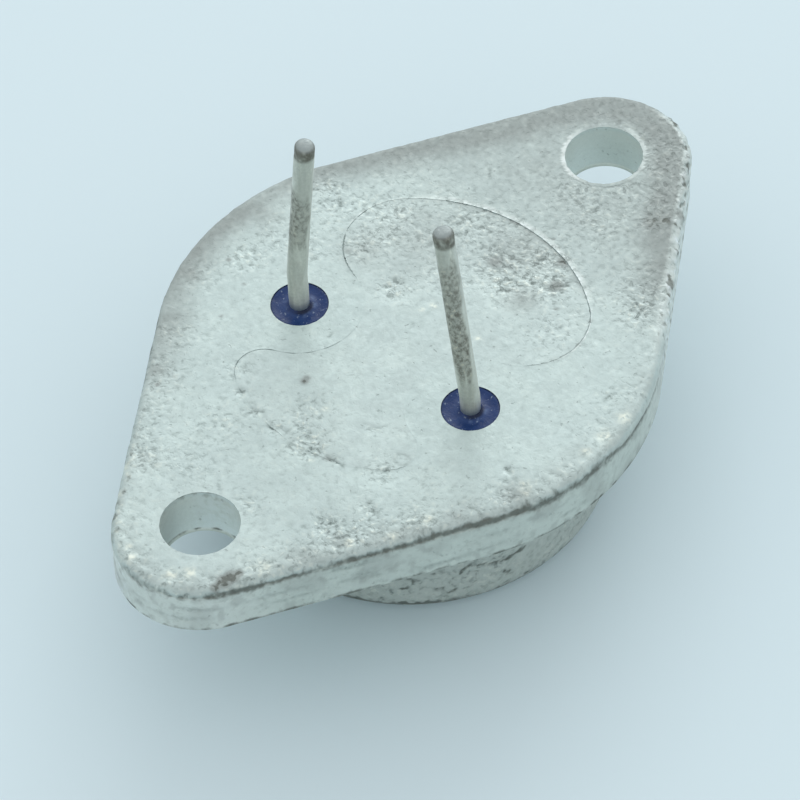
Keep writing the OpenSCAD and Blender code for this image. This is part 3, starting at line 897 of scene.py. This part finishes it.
bm = bmesh.new()
slug_rim = trace(bm, slug_turns, cell)
slug_stations = [(groove, 0), (groove, -0.05), (groove, -0.1), (0, -0.1), (0, -plate_thick)]
slug_foot = draw_wall(bm, slug_rim, slug_stations, metal_inside=True)
fill_between(bm, [slug_rim], UP, cell)
pad_turns = [
    (pad_middle + (pad_half - pad_corner_r) * Vector((end, wing, 0)), pad_corner_r, start, 90)
    for end, wing, start in ((1, 1, 0), (-1, 1, 90), (-1, -1, 180), (1, -1, 270))
]
pad_rim = trace(bm, pad_turns, 4 * cell)
bmesh.ops.translate(bm, vec=-UP * plate_thick, verts=ring_verts(pad_rim))
pad_face = draw_wall(bm, pad_rim, [(0, -plate_thick), (0, pad_low + 0.08), (0.08, pad_low)],
                     metal_inside=True)
fill_between(bm, [slug_foot, pad_rim], -UP, 6 * cell)
fill_between(bm, [pad_face], -UP, 4 * cell)
bmesh.ops.recalc_face_normals(bm, faces=bm.faces)
bm.normal_update()

dirt_and_shade, rub, dint, bare_and_sheen, fleck, seam_and_shade = paint_layers(bm, plating_marks)
shifts = []
for vert in bm.verts:
    flat = flatten(vert.co)
    steep = [edge for edge in vert.link_edges if edge.calc_face_angle(0) > 0.5]
    share = groove_open(flat)
    if vert.co.z > -0.105 and steep:
        outward = flatten(vert.normal)
        if outward.length > 0.2:
            worn_back = 0.07 * share if vert.co.z > -0.01 else 0
            shifts.append((vert, outward.normalized() * (groove * 0.9 * (1 - share) - worn_back)))
        if vert.co.z < -0.09:
            shifts.append((vert, UP * 0.07 * (1 - 0.25 * share)))
    if vert.co.z > -0.05:
        rubbing = rubbed(flat)
        height, depth = face_relief(flat, rubbing)
        shifts.append((vert, UP * (height - 0.004)))
        vert[dint] = depth
        vert[rub] = rubbing
        vert[fleck] = glint_at(flat)
        vert[dirt_and_shade] = smeared(flat) + 0.36 * soft_step(flat.x, 4, 13.5)
        vert[seam_and_shade] = 0.36 * share * bool(steep)
        # Painted shade along the inner side of the open groove round the big lobe
        shade = soft_step(chip_lobe_r - flat.length, 0.3, 0.05) * soft_step(flat.x, 3, 5)
        shade *= by_big_lobe(flat)
        vert[dirt_and_shade] += 0.35 * share * shade
    elif vert.co.z > -0.2:
        vert[seam_and_shade] = 0.36 * share
move_points(shifts)

slug = finish_piece(bm, "slug", plating("slug_plating", tint=(1, 0.995, 0.995)))
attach(slug, "root")
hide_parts("heat_slug")


# ---- Glass seals ----
# Deep blue glass melted between each lead and its hole. The glass sinks a little between its
# rim and the lead, and climbs the wire as a low collar.

lead_r = 0.5
# A section is drawn level, as (distance out, height), and then stood up
stand_up = Matrix.Rotation(math.pi / 2, 3, "X")


def blue_glass():
    """Deep blue glass with a clear glossy skin and dust specks; the mesh says where it is pale and
    where it is darkest, at its rim and in the painted shadow of the wire"""
    material, tree, shader = new_material("blue_glass", IOR=1.52, Specular_IOR_Level=0.25)
    stain, painted = node_makers(tree)[2:]
    metres = add_node(tree, "ShaderNodeTexCoord").outputs["Object"]
    swirl = add_node(tree, "ShaderNodeTexNoise", {
        "Vector": metres, "Scale": 2.2 / MM, "Detail": 4.0, "Roughness": 0.65}).outputs["Fac"]
    dust = add_node(tree, "ShaderNodeTexNoise", {
        "Vector": metres, "Scale": 6 / MM, "Detail": 1.0}).outputs["Fac"]
    colour = stain(swirl, (0.001, 0.015, 0.08, 1), (0.018, 0.055, 0.188, 1))
    speck = add_node(tree, "ShaderNodeMapRange", {
        "Value": dust, "From Min": 0.66, "From Max": 0.76, "To Max": 0.4})
    colour = stain(speck.outputs["Result"], colour, (0.4, 0.5, 0.6, 1))
    colour = stain(painted("pale"), colour, (0.16, 0.24, 0.42, 1))
    colour = stain(painted("dark"), colour, (0.0008, 0.006, 0.025, 1))
    tree.links.new(colour, shader.inputs["Base Color"])
    gloss = add_node(tree, "ShaderNodeMapRange", {
        "Value": swirl, "From Min": 0.3, "From Max": 0.7, "To Min": 0.3, "To Max": 0.5})
    tree.links.new(gloss.outputs["Result"], shader.inputs["Roughness"])
    emboss(tree, shader, 0.05 * MM, swirl)
    return material


def spin_round(bm, middle, steps):
    """Spins the wire outline of a bmesh a full turn about the upright line through a place"""
    outline = bm.verts[:] + bm.edges[:]
    bmesh.ops.spin(bm, geom=outline, cent=middle, axis=UP, angle=math.tau, steps=steps,
                   use_merge=True)
    bmesh.ops.remove_doubles(bm, verts=bm.verts, dist=0.0005)
    bmesh.ops.recalc_face_normals(bm, faces=bm.faces)
    bm.normal_update()


seal_steps = 72
# The seal's outline in section: distance from the wire's line, and height
dish = [
    (seal_r, -plate_thick), (seal_r, -0.4), (seal_r, -0.06), (1.42, -0.035), (1.34, -0.045),
    (1.2, -0.08), (1.05, -0.105), (0.92, -0.11), (0.82, -0.1), (0.74, -0.085), (0.67, -0.07),
    (0.6, -0.05), (0.55, -0.02), (lead_r, 0.05), (lead_r, -1.2), (lead_r, -plate_thick),
]
glass = blue_glass()
for node, middle in (("glass_seal_base", base_seal), ("glass_seal_emitter", emitter_seal)):
    bm = bmesh.new()
    trace(bm, [(Vector((reach, height, 0)), 0, 0, 0) for reach, height in dish], 0.08)
    bmesh.ops.rotate(bm, cent=plate_middle, matrix=stand_up, verts=bm.verts)
    bmesh.ops.translate(bm, vec=middle, verts=bm.verts)
    spin_round(bm, middle, seal_steps)
    pale, dark = paint_layers(bm, ("pale", "dark"))
    for vert in bm.verts:
        if vert.co.z > -0.3:
            out = flatten(vert.co - middle)
            collar = math.exp(-((out.length - 0.72) / 0.14) ** 2)
            strokes = soft_step(noise.noise(vert.co / 0.3 + middle), 0.0, 0.4)
            vert[pale] = collar * (0.06 + 0.35 * strokes)
            # Painted shadow of the wire on the glass round its foot, strongest on one side
            below = soft_step(out.normalized().dot(toward(-100)), 0.1, 0.9)
            wire_shadow = soft_step(out.length, 0.72, 0.6) * (0.2 + 0.8 * below)
            vert[dark] = max(0.6 * soft_step(out.length, 1.32, 1.42), 0.85 * wire_shadow)
            vert.co.z += 0.012 * noise.noise(vert.co / 0.6)
    seal = finish_piece(bm, node.replace("glass_seal", "seal"), glass)
    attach(seal, "root")
    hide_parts(node)


# ---- Leads ----
# Round tinned wire, 1 mm thick, bent a little by hand. Each ends inside the case in a flattened
# head and outside in a sawn tip with a worn edge; handling has stained them in patches.

lead_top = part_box("lead_base")[1].z / MM
head_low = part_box("lead_base")[0].z / MM
head_r = 0.9
head_thick = 0.45
bend_r = 4
wire_sides = 40
inner_step = 0.2
outer_step = 0.15
wire_marks = ("tip", "sawn", "edge_sheen")
# The wire's radius near its sawn end, and the height from that end
tip_round = [(0.5, -0.3), (0.485, -0.18), (0.44, -0.09), (0.36, -0.03), (0.24, -0.005), (0.12, 0)]


def tinned_wire(name, stained_from, stained_to, strength):
    """Dull tin on a wire, stained brown and grey between two heights above the seating face, with a
    painted sheen down its sides and a painted reflection of the blue glass at its foot
    """
    material, tree, shader = new_material(name, IOR=1.5)
    span, reckon, stain, painted = node_makers(tree)
    metres = add_node(tree, "ShaderNodeTexCoord").outputs["Object"]
    place = add_node(tree, "ShaderNodeMapping", {
        "Vector": metres, "Scale": (1 / MM, 1 / MM, 0.7 / MM)}).outputs["Vector"]
    height = add_node(tree, "ShaderNodeSeparateXYZ", {"Vector": place}).outputs["Z"]

    def speckle(scale, detail, bend=0.0):
        return add_node(tree, "ShaderNodeTexNoise", {
            "Vector": place, "Scale": scale, "Detail": detail, "Roughness": 0.6,
            "Distortion": bend}).outputs["Fac"]

    drawn = add_node(tree, "ShaderNodeMapping", {
        "Vector": place, "Scale": (1, 1, 0.06)}).outputs["Vector"]
    streak = add_node(tree, "ShaderNodeTexNoise", {
        "Vector": drawn, "Scale": 3.2, "Detail": 2.0}).outputs["Fac"]
    cloud = speckle(0.9, 3)
    patch = speckle(5, 4, 0.3)
    grain = speckle(9, 2)
    wave = reckon("ADD", height, span(streak, 0.3, 0.7, -0.35, 0.35))
    rise = span(wave, 0.7 * stained_from - 0.3, 0.7 * stained_from + 0.3)
    fall = span(wave, 0.7 * stained_to - 0.3, 0.7 * stained_to + 0.3, 1, 0)
    handled = reckon("MULTIPLY", rise, fall)
    uneven = reckon("MULTIPLY", span(cloud, 0.3, 0.6, 0.6, 1), strength)
    handled = reckon("MULTIPLY", handled, uneven)
    tip, sawn, edge_sheen = (painted(mark) for mark in wire_marks)
    # Painted sheen down the wire's sides clears the stain there
    handled = reckon("MULTIPLY", handled, reckon("SUBTRACT", 1, edge_sheen))
    handled = reckon("MAXIMUM", handled, tip, True)
    blotch = reckon("MULTIPLY", span(patch, 0.38, 0.68), handled)
    blotch = reckon("MAXIMUM", blotch, reckon("MULTIPLY", tip, span(patch, 0.3, 0.6, 0.6, 1)))
    haze = reckon("MULTIPLY", handled, 0.6)

    colour = stain(span(cloud, 0.35, 0.65), (0.49, 0.53, 0.475, 1), (0.56, 0.61, 0.55, 1))
    colour = stain(span(streak, 0.45, 0.65, 0, 0.25), colour, (0.25, 0.29, 0.265, 1))
    colour = stain(span(streak, 0.45, 0.3, 0, 0.5), colour, (0.74, 0.79, 0.70, 1))
    colour = stain(span(grain, 0.35, 0.65, 0.2, 0), colour, (0.23, 0.26, 0.23, 1))
    # Painted sheen: the wire's sides are painted paler
    colour = stain(reckon("MULTIPLY", edge_sheen, 0.4), colour, (0.80, 0.86, 0.82, 1))
    colour = stain(haze, colour, (0.205, 0.232, 0.205, 1))
    colour = stain(reckon("MULTIPLY", span(patch, 0.42, 0.3), handled), colour, (0.5, 0.5, 0.4, 1))
    colour = stain(blotch, colour, (0.105, 0.108, 0.085, 1))
    colour = stain(reckon("MULTIPLY", sawn, 0.8), colour, (0.245, 0.30, 0.315, 1))
    # Painted reflection of the blue glass on the wire's foot, just above the seating face
    colour = stain(span(height, 0, 0.45, 0.7, 0), colour, (0.06, 0.12, 0.20, 1))
    tree.links.new(colour, shader.inputs["Base Color"])
    tree.links.new(reckon("SUBTRACT", 0.5, reckon("MULTIPLY", handled, 0.3)),
                   shader.inputs["Metallic"])
    tree.links.new(span(patch, 0.3, 0.7, 0.38, 0.56), shader.inputs["Roughness"])
    emboss(tree, shader, 0.015 * MM, reckon("ADD", patch, grain))
    return material


# Each lead: its node, seal, the height where its bend starts, its lean and the lean's heading in
# degrees, how strong its painted sheen is over one half, and its finish
leads = (
    ("lead_base", base_seal, 2.05, 6.9, -92, 0.35, tinned_wire("base_lead_tin", 4.8, 8.7, 0.85)),
    ("lead_emitter", emitter_seal, 0.65, 5.2, 104, 0,
     tinned_wire("emitter_lead_tin", 2.8, 10.1, 0.9)),
)
for node, middle, root, lean, lean_heading, half_sheen, tin in leads:
    bm = bmesh.new()
    wire_ring = draw_circle(bm, middle + UP * head_low, head_r, math.tau * head_r / wire_sides)
    head_face = wire_ring
    wire_ring = extend(bm, extend(bm, wire_ring, UP * head_thick), UP * 0)
    for vert in ring_verts(wire_ring):
        out = flatten(vert.co - middle) * (lead_r / head_r)
        vert.co = middle + out + UP * (head_low + head_thick)
    straight = root - head_low - head_thick
    steps = round(straight / inner_step)
    for _ in range(steps):
        wire_ring = extend(bm, wire_ring, UP * straight / steps)
    lean_way = toward(lean_heading)
    bend_middle = middle + UP * root + lean_way * bend_r
    made = bmesh.ops.spin(
        bm, geom=ring_verts(wire_ring) + wire_ring, cent=bend_middle, axis=UP.cross(lean_way),
        angle=math.radians(lean), steps=5)
    wire_ring = [item for item in made["geom_last"] if isinstance(item, bmesh.types.BMEdge)]
    along = lean_way * math.sin(math.radians(lean)) + UP * math.cos(math.radians(lean))
    free = (lead_top - root - bend_r * math.sin(math.radians(lean))) / math.cos(math.radians(lean))
    free += tip_round[0][1]
    steps = round(free / outer_step)
    for _ in range(steps):
        wire_ring = extend(bm, wire_ring, along * free / steps)
    earlier = tip_round[0]
    for reach, depth in tip_round[1:]:
        wire_ring = extend(bm, wire_ring, along * (depth - earlier[1]))
        ring_middle = sum((vert.co for vert in ring_verts(wire_ring)), Vector()) / wire_sides
        for vert in ring_verts(wire_ring):
            vert.co = ring_middle + (vert.co - ring_middle) * (reach / earlier[0])
        earlier = (reach, depth)
    bmesh.ops.triangle_fill(bm, edges=head_face, use_beauty=True, use_dissolve=True, normal=-UP)
    bmesh.ops.triangle_fill(bm, edges=wire_ring, use_beauty=True, use_dissolve=True, normal=along)
    bmesh.ops.recalc_face_normals(bm, faces=bm.faces)
    bm.normal_update()
    tip, sawn, edge_sheen = paint_layers(bm, wire_marks)
    for vert in bm.verts:
        out = (vert.co - ring_middle).length
        vert[tip] = soft_step(vert.co.z, lead_top - 0.9, lead_top - 0.65)
        vert[tip] *= soft_step(out, 0.34, 0.46) * min(1, 1 + noise.noise(vert.co / 0.3))
        vert[sawn] = soft_step(out, 0.5, 0.4)
        # Painted sheen: pale strips down the wire's two sides as the camera sees them, and over one
        # half of the base lead
        sideways = vert.normal.dot(toward(-47))
        flank = max(sideways, -0.75 * sideways) + 0.25 * noise.noise(vert.co / 0.9 + middle)
        flank += 0.15 * soft_step(vert.co.z, 4, 2)
        vert[edge_sheen] = max(soft_step(flank, 0.6, 0.9), half_sheen * soft_step(sideways, -0.45, -0.1))
    shifts = [
        (vert, vert.normal * 0.014 * noise.noise(vert.co / 0.8 + middle)) for vert in bm.verts]
    for vert, shift in shifts:
        if vert.co.z > 0:
            vert.co += shift * (3 if vert[tip] > 0.4 else 1)
    wire = finish_piece(bm, node.replace("lead_", "wire_"), tin)
    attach(wire, "root")
    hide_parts(node)


# ---- Cap ----
# A cup drawn from steel sheet, with a flat brim resistance-welded under the plate. Its wall is
# plated like the plate, tinted darker as painted shade under it, with many small scratches and a
# dark line round the closed end that is grime and a painted contact shadow.

cap_r = 9.8
cap_wall = 0.8
cap_corner_r = 1.5
brim_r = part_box("cap")[1].x / MM
brim_bend_r = 0.5
cap_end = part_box("cap")[0].z / MM
brim_low = -plate_thick - cap_wall
outside_cell = 0.14
inside_cell = 0.6
round_steps = 420

# Gouges and rings in the wall: distance round it from the long axis, height, and as above
cap_gouges = [
    (-21.3, -6.3, 35, 0.5, 1.0), (-21.5, -6.5, 70, 0.3, 1.0), (-20.3, -6.4, -12, 0.7, 0.9),
    (-19.6, -6.55, -5, 0.7, 1.0), (-18.8, -6.5, 18, 0.8, 1.0), (-18.3, -6.4, 25, 0.4, 0.9),
    (-19.3, -7.5, -50, 0.4, 0.9), (-19.1, -7.6, 40, 0.2, 0.9), (-22.6, -7.5, 0, 0.35, 0.8),
    (-22.0, -7.8, 10, 0.3, 0.8), (-24.1, -6.6, -30, 0.4, 0.8), (-24.3, -7.3, 15, 0.4, 0.8),
    (-25.0, -6.6, 5, 0.5, 0.5), (-22.7, -6.3, 10, 0.5, 0.6), (-20.0, -5.6, 8, 2.0, 0.35),
]
cap_rings = [(-23.7, -6.9, 0.2, 0.5), (-21.8, -7.1, 0.3, 0.3)]

bm = bmesh.new()
outside_turns = [
    (Vector((0, cap_end, 0)), 0, 0, 0),
    (Vector((cap_r - cap_corner_r, cap_end + cap_corner_r, 0)), cap_corner_r, -90, 90),
    (Vector((cap_r + brim_bend_r, brim_low - brim_bend_r, 0)), brim_bend_r, 180, -90),
    (Vector((brim_r, brim_low, 0)), 0, 0, 0),
    (Vector((brim_r, -plate_thick, 0)), 0, 0, 0),
]
inside_bend_r = brim_bend_r + cap_wall
inside_corner_r = cap_corner_r - cap_wall
inside_turns = [
    (Vector((brim_r, -plate_thick, 0)), 0, 0, 0),
    (Vector((cap_r - cap_wall + inside_bend_r, -plate_thick - inside_bend_r, 0)), inside_bend_r,
     90, 90),
    (Vector((cap_r - cap_corner_r, cap_end + cap_corner_r, 0)), inside_corner_r, 0, -90),
    (Vector((0, cap_end + cap_wall, 0)), 0, 0, 0),
]
trace(bm, outside_turns, outside_cell, closed=False)
trace(bm, inside_turns, inside_cell, closed=False)
bmesh.ops.rotate(bm, cent=plate_middle, matrix=stand_up, verts=bm.verts)
spin_round(bm, plate_middle, round_steps)

dirt_and_shade, rub, dint, bare_and_sheen, fleck, seam_and_shade = paint_layers(bm, plating_marks)
shifts = []
for vert in bm.verts:
    flat = flatten(vert.co)
    outer = flat.length > cap_r - 0.3 or vert.co.z < cap_end + 0.1
    if outer and vert.co.z < brim_low:
        round_wall = UP.cross(flat.normalized())
        depth = dints(vert.co, 0.5, 0.3, round_wall, 4) * min(1, 0.8 + noise.noise(vert.co / 2.5))
        wall_place = Vector((cap_r * math.atan2(flat.y, flat.x), vert.co.z, 0))
        scratch = gouged(wall_place, cap_gouges, cap_rings, 0.1)
        depth = max(0.65 * depth, scratch)
        waves = 0.02 * noise.noise(vert.co / 3.5) + 0.008 * noise.noise(vert.co / 0.7)
        shifts.append((vert, vert.normal * (waves - 0.03 * depth) * soft_step(
            vert.co.z, cap_end, cap_end + 0.6)))
        vert[dint] = depth
        vert[rub] = 0.5 + 0.8 * noise.noise(vert.co / 2)
        # Dark ragged line above the closed end: grime and a painted contact shadow where the cap
        # stands on the paper
        ragged = 0.3 * noise.noise(flat / 0.8) + 0.25 * noise.noise(flat / 0.35)
        rim = soft_step(vert.co.z, cap_end + 1.25 + ragged, cap_end + 0.88 + ragged)
        rim *= 0.6 + 0.35 * soft_step(wall_place.x, -21, -24)
        vert[seam_and_shade] = max(rim, scratch)
move_points(shifts)

# The cap's plating is tinted darker than the plate's: painted shade under the plate
cap = finish_piece(bm, "can", plating("cap_plating", tint=(0.83, 0.81, 0.81)))
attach(cap, "root")
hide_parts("cap")


# ---- Chip and bond wires ----
# A square of silicon soldered to the slug's pad, and two aluminium wires from it to the heads of
# the leads. They are sealed inside the case, so their plain shapes stay and only get a finish.

def inner_finish(node, colour, metallic, rough, grain_size):
    """Gives an inner part a slightly uneven metallic finish"""
    material, tree, shader = new_material(node + "_finish", Metallic=metallic)
    metres = add_node(tree, "ShaderNodeTexCoord").outputs["Object"]
    grain = add_node(tree, "ShaderNodeTexNoise", {
        "Vector": metres, "Scale": 1 / (grain_size * MM), "Detail": 3.0}).outputs["Fac"]
    tone = add_node(tree, "ShaderNodeMix", {
        0: grain, 6: (*(0.75 * part for part in colour), 1), 7: (*colour, 1)}, data_type="RGBA")
    tree.links.new(tone.outputs[2], shader.inputs["Base Color"])
    gloss = add_node(tree, "ShaderNodeMapRange", {
        "Value": grain, "To Min": rough - 0.08, "To Max": rough + 0.08})
    tree.links.new(gloss.outputs["Result"], shader.inputs["Roughness"])
    node_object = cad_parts[node]
    node_object.data.materials.clear()
    node_object.data.materials.append(material)


inner_finish("silicon_chip", (0.20, 0.21, 0.24), 0.6, 0.2, 1.5)
inner_finish("chip_solder", (0.55, 0.55, 0.56), 0.9, 0.4, 0.4)
inner_finish("bond_wire_base", (0.80, 0.81, 0.83), 1.0, 0.35, 0.3)
inner_finish("bond_wire_emitter", (0.80, 0.81, 0.83), 1.0, 0.35, 0.3)
